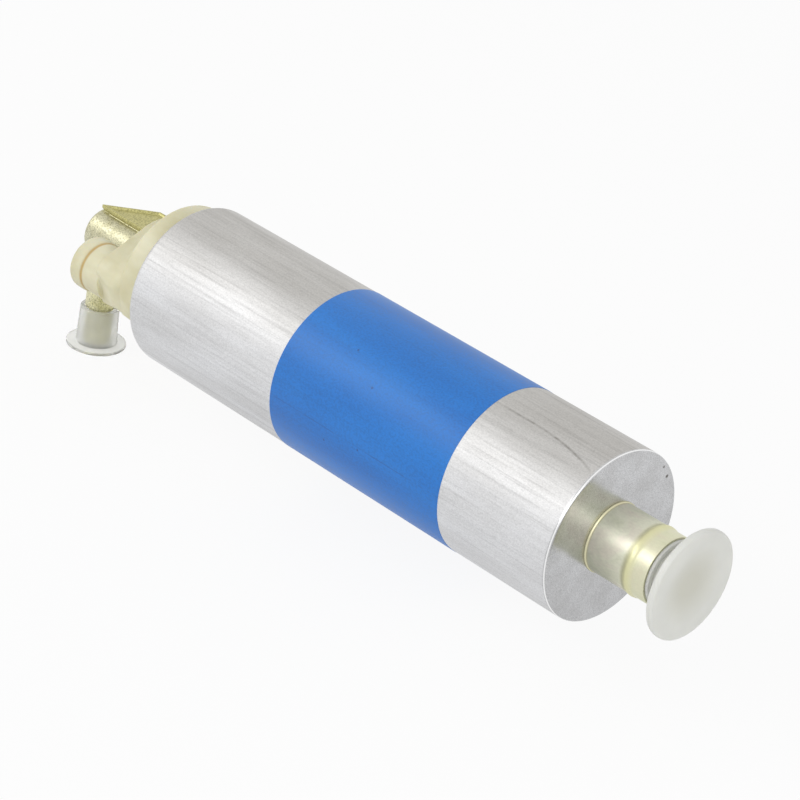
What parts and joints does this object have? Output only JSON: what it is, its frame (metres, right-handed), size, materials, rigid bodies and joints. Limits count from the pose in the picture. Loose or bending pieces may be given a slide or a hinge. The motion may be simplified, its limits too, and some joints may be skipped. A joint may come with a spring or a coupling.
{
  "type": "inline electric fuel pump",
  "caption": "Cylindrical inline electric fuel pump with an inlet spigot, a moulded outlet end with terminal bosses, an outlet elbow and transit caps.",
  "frame": {"origin": "middle of the cylinder's length on the pump axis", "axes": "+X along the pump axis to the inlet, -Z along the outlet leg, terminals at -Y and +Y"},
  "size_m": [0.2111, 0.0432, 0.0536],
  "materials": {
    "alloy": "satin drawn",
    "blue_band": "satin",
    "plated_steel": "zinc plated, pale yellow sheen",
    "yellow_plating": "yellow zinc plated, grainy",
    "cream_nylon": "moulded, semi-matt",
    "white_plastic": "translucent",
    "clear_plastic": "translucent",
    "black_rubber": "matt",
    "black_plastic": "moulded",
    "bright_steel": "ground",
    "dark_iron": "machined",
    "ferrite": "sintered",
    "bronze": "turned",
    "copper": "drawn"
  },
  "bodies": {
    "pump_body": {"housing_can": "alloy", "colour_sleeve": "blue_band", "inlet_tube": "plated_steel", "inlet_gasket": "black_rubber", "spacer_sleeve": "alloy", "strainer_cage": "cream_nylon", "strainer_mesh": "bright_steel", "pump_inlet_plate": "dark_iron", "pump_ring": "dark_iron", "pump_port_plate": "dark_iron", "pump_screws": "bright_steel", "relief_spring": "bright_steel", "drive_bush": "bronze", "tail_bush": "bronze", "flux_ring": "bright_steel", "magnet_upper": "ferrite", "magnet_lower": "ferrite", "magnet_clip_left": "bright_steel", "magnet_clip_right": "bright_steel", "brush_holder": "cream_nylon", "positive_brush_spring": "bright_steel", "negative_brush_spring": "bright_steel", "positive_contact_strap": "bronze", "negative_contact_strap": "bronze", "positive_stud": "bronze", "negative_stud": "bronze", "positive_washer": "bright_steel", "negative_washer": "bright_steel", "positive_nut": "bright_steel", "negative_nut": "bright_steel", "end_cover": "cream_nylon", "cover_seal": "black_rubber", "elbow_seal": "black_rubber", "outlet_elbow": "yellow_plating", "valve_seat": "bronze", "valve_retainer": "bright_steel", "valve_spring": "bright_steel"},
    "rotor": {"motor_shaft": "bright_steel", "armature_core": "dark_iron", "armature_windings": "copper", "commutator_hub": "black_plastic", "commutator_segments": "copper", "inner_rotor": "bright_steel"},
    "outer_rotor": {"outer_rotor": "bright_steel"},
    "valve_poppet": {"valve_poppet": "bronze"},
    "relief_ball": {"relief_ball": "bright_steel"},
    "positive_brush": {"positive_brush": "ferrite"},
    "negative_brush": {"negative_brush": "ferrite"},
    "inlet_plug": {"inlet_transit_plug": "white_plastic"},
    "outlet_cap": {"outlet_transit_cap": "clear_plastic"}
  },
  "joints": [
    {"name": "rotor_spin", "type": "hinge", "parent": "pump_body", "child": "rotor", "pos_m": [0, 0, 0], "axis": [1, 0, 0], "continuous": true},
    {"name": "outer_rotor_spin", "type": "hinge", "parent": "pump_body", "child": "outer_rotor", "pos_m": [0.045, 0, 0.0013], "axis": [1, 0, 0], "continuous": true},
    {"name": "valve_lift", "type": "slide", "parent": "pump_body", "child": "valve_poppet", "axis": [-1, 0, 0], "range_m": [0, 0.003], "stiffness_N_per_m": 150, "springref_m": -0.002, "deforming": ["valve_spring"]},
    {"name": "relief_lift", "type": "slide", "parent": "pump_body", "child": "relief_ball", "axis": [1, 0, 0], "range_m": [0, 0.0015], "stiffness_N_per_m": 400, "springref_m": -0.002, "deforming": ["relief_spring"]},
    {"name": "positive_brush_wear", "type": "slide", "parent": "pump_body", "child": "positive_brush", "axis": [0, 1, 0], "range_m": [0, 0.002], "stiffness_N_per_m": 100, "springref_m": -0.002, "deforming": ["positive_brush_spring"]},
    {"name": "negative_brush_wear", "type": "slide", "parent": "pump_body", "child": "negative_brush", "axis": [0, -1, 0], "range_m": [0, 0.002], "stiffness_N_per_m": 100, "springref_m": -0.002, "deforming": ["negative_brush_spring"]},
    {"name": "inlet_plug_pull", "type": "slide", "parent": "pump_body", "child": "inlet_plug", "axis": [1, 0, 0], "range_m": [0, 0.06]},
    {"name": "outlet_cap_pull", "type": "slide", "parent": "pump_body", "child": "outlet_cap", "axis": [0, 0, -1], "range_m": [0, 0.06]}
  ],
  "couplings": [
    {"joint": "outer_rotor_spin", "follows": "rotor_spin", "ratio": 0.85714}
  ]
}
